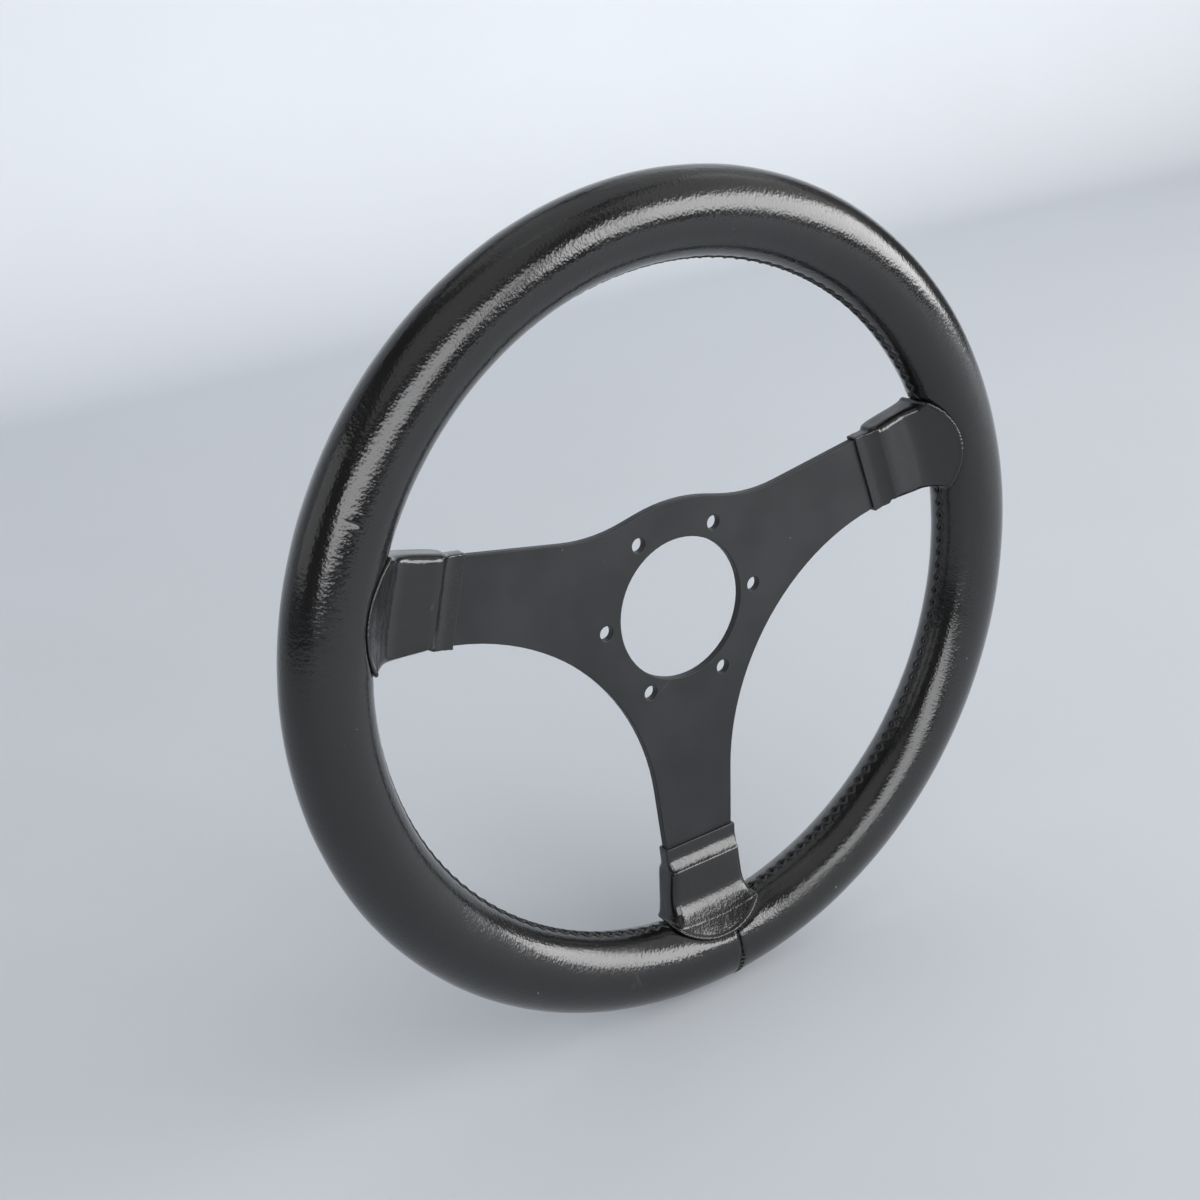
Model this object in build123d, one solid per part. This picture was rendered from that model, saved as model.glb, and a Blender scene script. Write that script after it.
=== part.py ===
from build123d import *
import math
import os
from collections import namedtuple

# Three-spoke steering wheel, 350 mm across, leather over foam over a steel hoop and a flat spoke plate.
# The origin is the hub centre on the back face of the spoke plate. The driver looks along +Y and +Z is
# up. Angles round the wheel are counted from +X, anticlockwise as the driver sees them.

# Rim, over the leather
RIM_DIAMETER = 350.0
GRIP_WIDTH = 34.0
GRIP_DEPTH = 29.5
GRIP_CENTRE_Y = -7.0
LEATHER = 1.2

# Hoop, a flat ring that lies on the front of the arms
HOOP_WIDTH = 18.0
HOOP_THICKNESS = 3.0

# Spoke plate
PLATE = 3.5
PLATE_EDGE_ROUND = 0.45
HUB_HOLE_DIAMETER = 60.0
BOLT_HOLE_DIAMETER = 6.0
BOLT_CIRCLE = 74.0
BOLT_COUNT = 6
CROWN_HEIGHT = 48.3
CROWN_ROUND = 74.0
VALLEY = (38.5, 39.05)
VALLEY_ROUND = 69.0
WEB_CORNER = (24.75, 0.45)
WEB_ROUND = 103.5
CORNER_MATCH = 1.0

# Arms where they go into their boots: middle, direction and half of the width there and at the hoop
SIDE_ARM_MIDDLE = (103.0, 33.0)
SIDE_ARM_ANGLE = 10.5
SIDE_ARM_HALF = 17.2
BOTTOM_ARM_MIDDLE = (0.0, -107.0)
BOTTOM_ARM_HALF = 17.3
ARM_END_HALF = 14.5
ARM_END_RADIUS = 166.0

# Leather boots: a thin collar on the arm, a ramp, then a padded block that widens to the rim
COLLAR_LENGTH = 8.5
BLOCK_HALF = 18.0
BLOCK_ROUND = 3.2
FLAP_HALF = 22.5
FLAP_RADIUS = 148.5
FLAP_MIDDLE_DISTANCE = 27.0
FLAP_CLEAR = 0.3
FLAP_FREE = 5.0
LEATHER_SEAM = 0.4

# Cross sections of a boot's block: distance from the step, depth of the front and of the back from the
# middle of the plate, growth of each side beyond its straight flare, and the round of the corners.
# The block rises over a short ramp, runs on plain, and hollows out onto the front of the grip.
ROOT_STATIONS = (
    (0.0, 3.5, 3.5, 0.0, 2.2),
    (3.5, 6.25, 6.25, 0.0, BLOCK_ROUND),
    (11.0, 6.25, 6.25, 0.0, BLOCK_ROUND),
    (22.0, 6.25, 6.25, 0.0, BLOCK_ROUND),
    (27.0, 7.05, 6.25, 0.5, BLOCK_ROUND),
    (31.0, 9.85, 6.45, 1.4, BLOCK_ROUND),
    (35.0, 14.85, 6.25, 3.0, BLOCK_ROUND),
)

# Lacing along the inner line of the rim, and the cross joint of the leather at the bottom
LACE_GAP = 2.0
LACE_WIDTH = 5.6
LACE_PROUD = 0.6
JOINT_ANGLE = 272.0
JOINT_GAP = 0.5
JOINT_STITCHES = 8
JOINT_STITCH_LENGTH = 4.0
JOINT_STITCH_WIDTH = 1.2
JOINT_STITCH_START = -25.0
JOINT_STITCH_PITCH = 20.0

# Rivets
RIVET_SHANK = 5.0
RIVET_HEAD = 9.0
RIVET_HEAD_HEIGHT = 2.0
RIVET_HEAD_SLOPE = 1.0
RIVET_SPACING = 18.0

RIM_RADIUS = (RIM_DIAMETER - GRIP_WIDTH) / 2
INNER_RADIUS = RIM_RADIUS - GRIP_WIDTH / 2
PLATE_FRONT_Y = -PLATE
PLATE_MIDDLE_Y = -PLATE / 2
HOOP_FRONT_Y = PLATE_FRONT_Y - HOOP_THICKNESS
PAD_WIDTH = GRIP_WIDTH - 2 * LEATHER
PAD_DEPTH = GRIP_DEPTH - 2 * LEATHER
FAR = 60.0
SEGMENT_SWEEP = 40.0
WHEEL_AXIS = Axis((0, 0, 0), (0, -1, 0))

# A spoke is described by the middle of its step line, the direction its collar and step face, the
# direction of the block's axis, how far each side of the block flares, its arm, and its rivets' names.
Spoke = namedtuple("Spoke", "name step facing block_angle flare arm_middle arm_angle arm_half rivets")

SPOKES = (
    Spoke("left", (-107.75, 35.2), 163.7, 171.5, 6.0, (-SIDE_ARM_MIDDLE[0], SIDE_ARM_MIDDLE[1]),
          180.0 - SIDE_ARM_ANGLE, SIDE_ARM_HALF, ("lower", "upper")),
    Spoke("right", (107.75, 35.2), 16.3, 8.5, 6.0, SIDE_ARM_MIDDLE,
          SIDE_ARM_ANGLE, SIDE_ARM_HALF, ("upper", "lower")),
    Spoke("bottom", (0.0, -114.5), 270.0, 270.0, 5.0, BOTTOM_ARM_MIDDLE,
          270.0, BOTTOM_ARM_HALF, ("right", "left")),
)


def slab(outline, y_front, y_back, point=(0, 0), facing=0.0):
    """A flat outline, drawn from a point of the front view along its facing, made solid in depth."""
    turn = math.radians(facing)
    along = (math.cos(turn), 0, math.sin(turn))
    back = Plane(origin=(point[0], y_back, point[1]), x_dir=along, z_dir=(0, -1, 0))
    return extrude(back * outline, amount=y_back - y_front)


def ring(section, start=0.0, arc=360.0):
    """A section drawn as radius and depth, turned round the wheel's axis."""
    turned = revolve(section, axis=WHEEL_AXIS, revolution_arc=arc)
    return turned.rotate(WHEEL_AXIS, start)


def oval(width, depth):
    """The oval section of the grip."""
    return Pos(RIM_RADIUS, GRIP_CENTRE_Y) * Ellipse(width / 2, depth / 2)


def arm_line(spoke, along, across):
    """A point of an arm in the front view, from the place along it and across it."""
    turn = math.radians(spoke.arm_angle)
    x = spoke.arm_middle[0] + along * math.cos(turn) - across * math.sin(turn)
    z = spoke.arm_middle[1] + along * math.sin(turn) + across * math.cos(turn)
    return (x, z)


def arm_reach(spoke, radius):
    """How far along an arm its axis meets a circle round the hub."""
    turn = math.radians(spoke.arm_angle)
    x, z = spoke.arm_middle
    along = x * math.cos(turn) + z * math.sin(turn)
    return -along + math.sqrt(along ** 2 - (x ** 2 + z ** 2 - radius ** 2))


def make_spoke_plate():
    """The flat plate: three arms from one outline, with filleted corners, the hub hole and the bolt holes."""
    left, right, bottom = SPOKES
    tip = arm_reach(right, ARM_END_RADIUS)
    low = arm_reach(bottom, ARM_END_RADIUS)
    half = [
        VALLEY,
        arm_line(right, 0, SIDE_ARM_HALF),
        arm_line(right, tip, ARM_END_HALF),
        arm_line(right, tip, -ARM_END_HALF),
        arm_line(right, 0, -SIDE_ARM_HALF),
        WEB_CORNER,
        arm_line(bottom, 0, BOTTOM_ARM_HALF),
        arm_line(bottom, low, ARM_END_HALF),
    ]
    mirrored = [(-x, z) for x, z in reversed(half)]
    outline = make_face(Polyline([(0, CROWN_HEIGHT)] + half + mirrored, close=True))

    for corner, radius in (((0, CROWN_HEIGHT), CROWN_ROUND), (VALLEY, VALLEY_ROUND), (WEB_CORNER, WEB_ROUND)):
        at_corner = [v for v in outline.vertices() if math.dist((abs(v.X), v.Y), corner) < CORNER_MATCH]
        outline = fillet(at_corner, radius)
    outline -= Circle(HUB_HOLE_DIAMETER / 2)
    outline -= PolarLocations(BOLT_CIRCLE / 2, BOLT_COUNT) * Circle(BOLT_HOLE_DIAMETER / 2)
    plate = slab(outline, PLATE_FRONT_Y, 0)
    rims = plate.edges().group_by(Axis.Y)
    plate = fillet(rims[0] + rims[-1], PLATE_EDGE_ROUND)
    return plate - slab(rivet_holes(), PLATE_FRONT_Y, 0)


def make_hoop():
    """The flat steel ring on the front of the arms."""
    band = Circle(RIM_RADIUS + HOOP_WIDTH / 2) - Circle(RIM_RADIUS - HOOP_WIDTH / 2) - rivet_holes()
    return slab(band, HOOP_FRONT_Y, PLATE_FRONT_Y)


def rivet_points(spoke):
    """The front view places of a spoke's two rivets."""
    along = arm_reach(spoke, RIM_RADIUS)
    return [arm_line(spoke, along, side * RIVET_SPACING / 2) for side in (1, -1)]


def rivet_holes():
    """The outlines of all rivet shanks in the front view."""
    points = [point for spoke in SPOKES for point in rivet_points(spoke)]
    return Sketch() + [Pos(*point) * Circle(RIVET_SHANK / 2) for point in points]


def make_rivet(point):
    """A solid rivet: a shank through the arm and the hoop, with a round head on each side."""
    grip = Plane(origin=(point[0], 0, point[1]), x_dir=(1, 0, 0), z_dir=(0, -1, 0))
    shank = grip * extrude(Circle(RIVET_SHANK / 2), amount=PLATE + HOOP_THICKNESS)
    seat = (Align.CENTER, Align.CENTER, Align.MIN)
    cone = Cone(RIVET_HEAD / 2, RIVET_HEAD / 2 - RIVET_HEAD_SLOPE, RIVET_HEAD_HEIGHT, align=seat)
    front = grip * Pos(0, 0, PLATE + HOOP_THICKNESS) * cone
    back = grip * Rot(180, 0, 0) * cone
    return shank + front + back


def root_station(spoke, skin, station):
    """One rounded cross section of a padded root, square to the spoke's facing."""
    distance, front, back, side, corner = station
    hold = LEATHER - skin
    lean = spoke.block_angle - spoke.facing
    place = distance + hold
    left = BLOCK_HALF + place * math.tan(math.radians(lean + spoke.flare)) + side - hold
    right = -BLOCK_HALF + place * math.tan(math.radians(lean - spoke.flare)) - side + hold
    high = front - hold
    low = back - hold
    turn = math.radians(spoke.facing)
    out = Vector(math.cos(turn), 0, math.sin(turn))
    origin = Vector(spoke.step[0], PLATE_MIDDLE_Y, spoke.step[1]) + out * place
    plane = Plane(origin=origin, x_dir=(-math.sin(turn), 0, math.cos(turn)), z_dir=out)
    toward_driver = -plane.y_dir.Y
    middle = Pos((left + right) / 2, toward_driver * (high - low) / 2)
    return plane * middle * RectangleRounded(left - right, high + low, corner - hold)


def make_root_form(spoke, skin):
    """A padded root grown by a skin over the foam, lofted from the step to inside the grip."""
    return loft([root_station(spoke, skin, station) for station in ROOT_STATIONS])


def step_place(spoke):
    """The middle of the step line from the hub, along and across the spoke's facing."""
    turn = math.radians(spoke.facing)
    x, z = spoke.step
    return x * math.cos(turn) + z * math.sin(turn), z * math.cos(turn) - x * math.sin(turn)


def flap_point(spoke, across, radius):
    """The point of a circle round the hub that lies a given distance across from the step's middle."""
    along, aside = step_place(spoke)
    return math.sqrt(radius ** 2 - (across + aside) ** 2) - along, across


def flap_corners(spoke, seam):
    """Where the flap's edge meets the inner line of the grip: two points along and across the facing."""
    middle = FLAP_MIDDLE_DISTANCE * math.tan(math.radians(spoke.block_angle - spoke.facing))
    sides = (middle + FLAP_HALF + seam, middle - FLAP_HALF - seam)
    return [flap_point(spoke, across, INNER_RADIUS - FLAP_CLEAR) for across in sides]


def make_flap_prism(spoke, seam=0.0):
    """All that lies behind the outline of a boot in the front view, with its bowed end on the grip."""
    left, right = flap_corners(spoke, seam)
    end = flap_point(spoke, (left[1] + right[1]) / 2, FLAP_RADIUS + seam)
    foot = -COLLAR_LENGTH - 2 * LEATHER
    edge = Polyline([right, (right[0] - FLAP_FREE, right[1] - FLAP_FREE), (foot, right[1] - FLAP_FREE),
                     (foot, left[1] + FLAP_FREE), (left[0] - FLAP_FREE, left[1] + FLAP_FREE), left])
    outline = make_face(edge + ThreePointArc(left, end, right))
    return slab(outline, -FAR, FAR, spoke.step, spoke.facing)


def spoke_segment(spoke, section):
    """The stretch of a ring round a spoke's end."""
    middle = math.degrees(math.atan2(spoke.step[1], spoke.step[0]))
    return ring(section, middle - SEGMENT_SWEEP / 2, SEGMENT_SWEEP)


def make_root_pad(spoke, plate):
    """The foam pad on an arm, between the arm and the boot, up to the foam of the rim."""
    pad = make_root_form(spoke, 0.0) & make_flap_prism(spoke)
    return pad - spoke_segment(spoke, oval(PAD_WIDTH, PAD_DEPTH)) - plate


def make_collar(spoke):
    """The thin leather collar round the arm, inside the step, before the arm is cut out of it."""
    reach = COLLAR_LENGTH + LEATHER
    start = spoke.arm_half + LEATHER
    end = start - reach * (spoke.arm_half - ARM_END_HALF) / arm_reach(spoke, ARM_END_RADIUS)
    low = -reach
    high = reach * 2
    sides = make_face(Polyline([arm_line(spoke, low, start), arm_line(spoke, high, end),
                                arm_line(spoke, high, -end), arm_line(spoke, low, -start)], close=True))
    band = Pos((LEATHER - COLLAR_LENGTH) / 2, 0) * Rectangle(LEATHER + COLLAR_LENGTH, FAR)
    whole = slab(sides, PLATE_FRONT_Y - LEATHER, LEATHER)
    return whole & slab(band, -FAR, FAR, spoke.step, spoke.facing)


def make_boot(spoke, plate):
    """The leather boot: collar, walls round the pad, and the flap that runs out onto the grip."""
    grip = spoke_segment(spoke, oval(GRIP_WIDTH, GRIP_DEPTH))
    outside = (make_root_form(spoke, LEATHER) + grip) & make_flap_prism(spoke)
    outside += make_collar(spoke)
    outside -= make_root_form(spoke, 0.0)
    outside -= spoke_segment(spoke, oval(PAD_WIDTH, PAD_DEPTH))
    return outside - plate


def make_rim_padding(hoop, plate, rivets):
    """The foam of the rim, moulded round the hoop, the arm ends and the rivets."""
    padding = ring(oval(PAD_WIDTH, PAD_DEPTH)) - hoop - plate
    for rivet in rivets:
        padding -= rivet
    return padding


def make_rim_leather():
    """One strip of leather round the rim, open along the inner line, at the boots and at the joint."""
    slit = Pos(INNER_RADIUS, GRIP_CENTRE_Y) * Rectangle(GRIP_WIDTH / 2, LACE_GAP)
    strip = ring(oval(GRIP_WIDTH, GRIP_DEPTH) - oval(PAD_WIDTH, PAD_DEPTH) - slit)
    for spoke in SPOKES:
        strip -= make_flap_prism(spoke, LEATHER_SEAM)
    joint = Pos(RIM_RADIUS, GRIP_CENTRE_Y, 0) * Box(GRIP_WIDTH * 2, GRIP_DEPTH * 2, JOINT_GAP)
    return strip - joint.rotate(WHEEL_AXIS, JOINT_ANGLE)


def lacing_ends(first, second):
    """The angles between which a stretch of lacing runs, from one spoke's flap to the next one's."""
    ends = []
    for spoke, side in ((first, 0), (second, 1)):
        corner = flap_corners(spoke, LEATHER_SEAM * 2)[side]
        along, across = (a + b for a, b in zip(corner, step_place(spoke)))
        ends.append(spoke.facing + math.degrees(math.atan2(across, along)))
    return ends[0], (ends[1] - ends[0]) % 360


def make_lacing(first, second):
    """The lacing thread: a band that lies over the edges of the leather, with a web in the slit."""
    start, arc = lacing_ends(first, second)
    over = oval(GRIP_WIDTH + 2 * LACE_PROUD, GRIP_DEPTH + 2 * LACE_PROUD) - oval(GRIP_WIDTH, GRIP_DEPTH)
    web = oval(GRIP_WIDTH + LACE_PROUD, GRIP_DEPTH + LACE_PROUD) - oval(PAD_WIDTH, PAD_DEPTH)
    inner = Pos(INNER_RADIUS, GRIP_CENTRE_Y)
    section = (over & (inner * Rectangle(GRIP_WIDTH / 2, LACE_WIDTH)))
    section += web & (inner * Rectangle(GRIP_WIDTH / 2, LACE_GAP))
    return ring(section, start, arc)


def make_joint_stitching():
    """Half-round stitches across the joint of the leather, on the outer and back side of the grip."""
    grip = ring(oval(GRIP_WIDTH, GRIP_DEPTH), -JOINT_STITCH_LENGTH, 2 * JOINT_STITCH_LENGTH)
    stitches = []
    for count in range(JOINT_STITCHES):
        turn = math.radians(JOINT_STITCH_START + count * JOINT_STITCH_PITCH)
        x = RIM_RADIUS + GRIP_WIDTH / 2 * math.cos(turn)
        y = GRIP_CENTRE_Y + GRIP_DEPTH / 2 * math.sin(turn)
        bar = Pos(x, y, 0) * Cylinder(JOINT_STITCH_WIDTH / 2, JOINT_STITCH_LENGTH)
        stitches.append(bar - grip)
    return Compound(children=stitches).rotate(WHEEL_AXIS, JOINT_ANGLE)


def main():
    """Make every piece and write each to its own file."""
    left, right, bottom = SPOKES
    plate = make_spoke_plate()
    hoop = make_hoop()
    rivets = {}
    for spoke in SPOKES:
        for side, point in zip(spoke.rivets, rivet_points(spoke)):
            rivets[f"{spoke.name}_{side}_rivet"] = make_rivet(point)
    pieces = {
        "spoke_plate": plate,
        "rim_hoop": hoop,
        "rim_padding": make_rim_padding(hoop, plate, rivets.values()),
        "rim_leather": make_rim_leather(),
        "upper_lacing": make_lacing(right, left),
        "lower_left_lacing": make_lacing(left, bottom),
        "lower_right_lacing": make_lacing(bottom, right),
        "joint_stitching": make_joint_stitching(),
    }
    pieces.update(rivets)
    for spoke in SPOKES:
        pieces[f"{spoke.name}_root_pad"] = make_root_pad(spoke, plate)
        pieces[f"{spoke.name}_spoke_boot"] = make_boot(spoke, plate)
    os.makedirs("parts", exist_ok=True)
    for name, piece in pieces.items():
        export_step(piece, f"parts/{name}.step")


main()
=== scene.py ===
"""Dresses the three-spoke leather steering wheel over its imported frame."""

import logging
import math
from dataclasses import dataclass
from enum import Enum
from typing import Callable, Optional

import bpy
import numpy as np
from mathutils import Euler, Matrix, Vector, noise

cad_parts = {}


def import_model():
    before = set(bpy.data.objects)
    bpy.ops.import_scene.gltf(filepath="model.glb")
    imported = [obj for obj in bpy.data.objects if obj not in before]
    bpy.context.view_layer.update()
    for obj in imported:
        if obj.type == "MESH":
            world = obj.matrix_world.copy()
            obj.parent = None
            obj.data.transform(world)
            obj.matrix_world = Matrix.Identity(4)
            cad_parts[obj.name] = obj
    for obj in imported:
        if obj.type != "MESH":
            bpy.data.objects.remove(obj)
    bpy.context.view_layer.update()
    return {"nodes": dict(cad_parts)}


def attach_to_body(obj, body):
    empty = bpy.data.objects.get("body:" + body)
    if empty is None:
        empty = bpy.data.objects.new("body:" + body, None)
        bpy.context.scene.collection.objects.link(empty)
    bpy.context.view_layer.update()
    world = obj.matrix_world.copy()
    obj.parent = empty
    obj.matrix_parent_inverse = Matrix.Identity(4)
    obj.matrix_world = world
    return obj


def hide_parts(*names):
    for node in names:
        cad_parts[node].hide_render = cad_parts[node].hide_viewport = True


LOG = logging.getLogger("steering_wheel")
MM = 0.001
ROOT = "root"
GRAIN_MAP = "grain"
WEAR = "wear"

Array = np.ndarray


class Slot(Enum):
    """The record's material slots that the new pieces are listed with."""

    LEATHER = "leather"
    THREAD = "thread"


class Side(Enum):
    """The two long sides of a stitched seam."""

    FRONT = -1
    BACK = 1


def smooth_step(low: float, high: float, value: Array) -> Array:
    """Turns values softly from 0 to 1.

    Args:
        low: Where the turn starts.
        high: Where the turn ends.
        value: The values to turn.

    Returns:
        Numbers from 0 to 1.
    """
    share = np.clip((value - low) / (high - low), 0.0, 1.0)
    return share * share * (3.0 - 2.0 * share)


def noise_at(points: Array, scale: float, octaves: int = 3, seed: float = 0.0) -> Array:
    """Fractal noise at many points.

    Args:
        points: Rows of three coordinates.
        scale: Noise cells per unit of length.
        octaves: How many layers of finer noise are added.
        seed: Moves the whole pattern.

    Returns:
        One value a point, about from -1 to 1.
    """
    shifted = points * scale + seed
    values = [noise.fractal(Vector(row), 1.0, 2.0, octaves) for row in shifted.tolist()]
    return np.array(values)


@dataclass(frozen=True)
class Wheel:
    """Sizes that the whole wheel shares, in metres and degrees."""

    rim_radius: float = 158.0 * MM
    grip_half_width: float = 17.0 * MM
    grip_half_depth: float = 14.75 * MM
    grip_y: float = -7.0 * MM
    plate: float = 3.5 * MM
    joint_angle: float = 272.0

    @property
    def inner_radius(self) -> float:
        """The radius of the inner line of the grip."""
        return self.rim_radius - self.grip_half_width

    def on_grip(self, around: Array, section: Array, lift: Array) -> Array:
        """Points on the skin of the grip.

        Args:
            around: Angles round the wheel in radians, from +X towards +Z.
            section: Angles round the oval section in radians, from the outer line to the back.
            lift: How far each point stands off the skin, in metres.

        Returns:
            One row of coordinates a point.
        """
        a = self.grip_half_width
        b = self.grip_half_depth
        out = b * np.cos(section)
        deep = a * np.sin(section)
        length = np.hypot(out, deep)
        radius = self.rim_radius + a * np.cos(section) + lift * out / length
        y = self.grip_y + b * np.sin(section) + lift * deep / length
        return np.stack([radius * np.cos(around), y, radius * np.sin(around)], axis=-1)

    def section_length(self, section: Array) -> Array:
        """The rough length round the section to an angle."""
        return section * (self.grip_half_width + self.grip_half_depth) / 2


WHEEL = Wheel()


@dataclass(frozen=True)
class Spoke:
    """Where one arm's boot sits: the middle of its step line and its directions in the front view."""

    name: str
    step: tuple[float, float]
    facing: float
    block_angle: float
    flap_half: float = 22.5 * MM
    flap_radius: float = 148.5 * MM
    flap_middle: float = 27.0 * MM
    flap_clear: float = 0.3 * MM

    def local(self, x: Array, z: Array) -> tuple[Array, Array]:
        """Turns front view places into distances along and across the facing from the step."""
        turn = math.radians(self.facing)
        dx = x - self.step[0]
        dz = z - self.step[1]
        along = dx * math.cos(turn) + dz * math.sin(turn)
        across = dz * math.cos(turn) - dx * math.sin(turn)
        return along, across

    def circle_point(self, across: float, radius: float) -> tuple[float, float]:
        """The point of a circle round the hub at a distance across from the step.

        Args:
            across: The distance across.
            radius: The circle's radius.

        Returns:
            The place along and across.
        """
        hub_along, hub_across = self.local(0.0, 0.0)
        reach = math.sqrt(radius ** 2 - (across - hub_across) ** 2)
        return reach + hub_along, across

    def flap_arc(self) -> tuple[float, float, float]:
        """The circle of the flap's bowed end, as its middle along and across, and its radius."""
        shift = self.flap_middle * math.tan(math.radians(self.block_angle - self.facing))
        sides = (shift + self.flap_half, shift - self.flap_half)
        inner = WHEEL.inner_radius - self.flap_clear
        first, last = (self.circle_point(side, inner) for side in sides)
        end = self.circle_point((first[1] + last[1]) / 2, self.flap_radius)
        rows = [(2 * (end[0] - p[0]), 2 * (end[1] - p[1])) for p in (first, last)]
        goal = [end[0] ** 2 + end[1] ** 2 - p[0] ** 2 - p[1] ** 2 for p in (first, last)]
        along, across = np.linalg.solve(np.array(rows), np.array(goal))
        return float(along), float(across), math.hypot(end[0] - along, end[1] - across)

    def beyond_flap(self, x: Array, z: Array) -> Array:
        """How far front view places lie outside the flap's bowed end, and below zero inside it."""
        along, across = self.local(x, z)
        middle_along, middle_across, radius = self.flap_arc()
        return np.hypot(along - middle_along, across - middle_across) - radius


SPOKES = (
    Spoke("left", (-107.75 * MM, 35.2 * MM), 163.7, 171.5),
    Spoke("right", (107.75 * MM, 35.2 * MM), 16.3, 8.5),
    Spoke("bottom", (0.0, -114.5 * MM), 270.0, 270.0),
)


class NodeSheet:
    """A material and short calls for the nodes that the finishes use."""

    def __init__(self, name: str) -> None:
        """Makes the material.

        Args:
            name: The material's name.
        """
        self.material = bpy.data.materials.new(name)
        self.material.use_nodes = True
        self.tree = self.material.node_tree
        self.shader = self.tree.nodes["Principled BSDF"]

    def add(self, kind: str, **settings: object) -> bpy.types.Node:
        """Adds a node and sets its properties."""
        node = self.tree.nodes.new(kind)
        for key, value in settings.items():
            setattr(node, key, value)
        return node

    def put(self, socket: bpy.types.NodeSocket, value: object) -> None:
        """Links a socket to another one, or sets its number."""
        if isinstance(value, bpy.types.NodeSocket):
            self.tree.links.new(value, socket)
        else:
            socket.default_value = value

    def set(self, **values: object) -> None:
        """Sets or links the shader's own sockets, with spaces written as underscores."""
        for key, value in values.items():
            self.put(self.shader.inputs[key.replace("_", " ")], value)

    def place(self) -> bpy.types.NodeSocket:
        """Places on the object in metres."""
        return self.add("ShaderNodeTexCoord").outputs["Object"]

    def grain_place(self) -> bpy.types.NodeSocket:
        """Places on the leather, along the rim and round its section."""
        return self.add("ShaderNodeUVMap", uv_map=GRAIN_MAP).outputs["UV"]

    def attribute(self, name: str) -> bpy.types.NodeSocket:
        """A number that the mesh carries at each of its points."""
        return self.add("ShaderNodeAttribute", attribute_name=name).outputs["Fac"]

    def stretch(self, vector: bpy.types.NodeSocket, scale: tuple[float, float, float],
                turn: float = 0.0) -> bpy.types.NodeSocket:
        """Turns a place about Y in degrees and stretches it.

        Args:
            vector: The place.
            scale: The scale along each axis, after the turn.
            turn: The angle from +X towards +Z, in degrees.

        Returns:
            The changed place.
        """
        turned = self.add("ShaderNodeVectorRotate", rotation_type="Y_AXIS")
        self.put(turned.inputs["Vector"], vector)
        turned.inputs["Angle"].default_value = math.radians(turn)
        scaled = self.add("ShaderNodeVectorMath", operation="MULTIPLY")
        self.put(scaled.inputs[0], turned.outputs["Vector"])
        scaled.inputs[1].default_value = scale
        return scaled.outputs["Vector"]

    def noise(self, vector: bpy.types.NodeSocket, scale: float, detail: float = 3.0,
              rough: float = 0.5, distortion: float = 0.0) -> bpy.types.NodeSocket:
        """Cloudy noise.

        Args:
            vector: The place.
            scale: Cells per unit.
            detail: Layers of finer noise.
            rough: How strong the finer layers are.
            distortion: How far the pattern is bent by itself.

        Returns:
            Values from 0 to 1.
        """
        node = self.add("ShaderNodeTexNoise")
        self.put(node.inputs["Vector"], vector)
        node.inputs["Scale"].default_value = scale
        node.inputs["Detail"].default_value = detail
        node.inputs["Roughness"].default_value = rough
        node.inputs["Distortion"].default_value = distortion
        return node.outputs["Fac"]

    def cells(self, vector: bpy.types.NodeSocket, scale: float,
              feature: str = "F1") -> bpy.types.NodeSocket:
        """Cell pattern, as the distance to the nearest cell's middle or edge.

        Args:
            vector: The place.
            scale: Cells per unit.
            feature: Which distance is given.

        Returns:
            The distance.
        """
        node = self.add("ShaderNodeTexVoronoi", feature=feature)
        self.put(node.inputs["Vector"], vector)
        node.inputs["Scale"].default_value = scale
        return node.outputs["Distance"]

    def remap(self, value: object, low: float, high: float, to_low: float,
              to_high: float) -> bpy.types.NodeSocket:
        """Turns a value softly from one range to another.

        Args:
            value: The value.
            low: Where the turn starts.
            high: Where it ends.
            to_low: The result at the start.
            to_high: The result at the end.

        Returns:
            The new value.
        """
        node = self.add("ShaderNodeMapRange", interpolation_type="SMOOTHSTEP")
        self.put(node.inputs["Value"], value)
        node.inputs["From Min"].default_value = low
        node.inputs["From Max"].default_value = high
        node.inputs["To Min"].default_value = to_low
        node.inputs["To Max"].default_value = to_high
        return node.outputs["Result"]

    def math(self, operation: str, first: object, second: object = 0.0) -> bpy.types.NodeSocket:
        """A sum of two values.

        Args:
            operation: Blender's name of the sum.
            first: A socket or a number.
            second: A socket or a number.

        Returns:
            The result.
        """
        node = self.add("ShaderNodeMath", operation=operation)
        self.put(node.inputs[0], first)
        self.put(node.inputs[1], second)
        return node.outputs[0]

    def blend(self, share: object, first: object, second: object) -> bpy.types.NodeSocket:
        """A mix of two colours.

        Args:
            share: How much of the second one.
            first: A socket or a colour.
            second: A socket or a colour.

        Returns:
            The mixed colour.
        """
        node = self.add("ShaderNodeMix", data_type="RGBA")
        self.put(node.inputs[0], share)
        self.put(node.inputs[6], first if isinstance(first, bpy.types.NodeSocket) else (*first, 1.0))
        self.put(node.inputs[7], second if isinstance(second, bpy.types.NodeSocket) else (*second, 1.0))
        return node.outputs[2]

    def bump(self, height: bpy.types.NodeSocket, depth: float,
             under: Optional[bpy.types.NodeSocket] = None) -> bpy.types.NodeSocket:
        """Bends the normal by a height.

        Args:
            height: The height from 0 to 1.
            depth: What 1 stands for, in metres.
            under: A normal that is already bent.

        Returns:
            The new normal.
        """
        node = self.add("ShaderNodeBump")
        node.inputs["Strength"].default_value = 1.0
        node.inputs["Distance"].default_value = depth
        self.put(node.inputs["Height"], height)
        if under is not None:
            self.put(node.inputs["Normal"], under)
        return node.outputs["Normal"]


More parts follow.
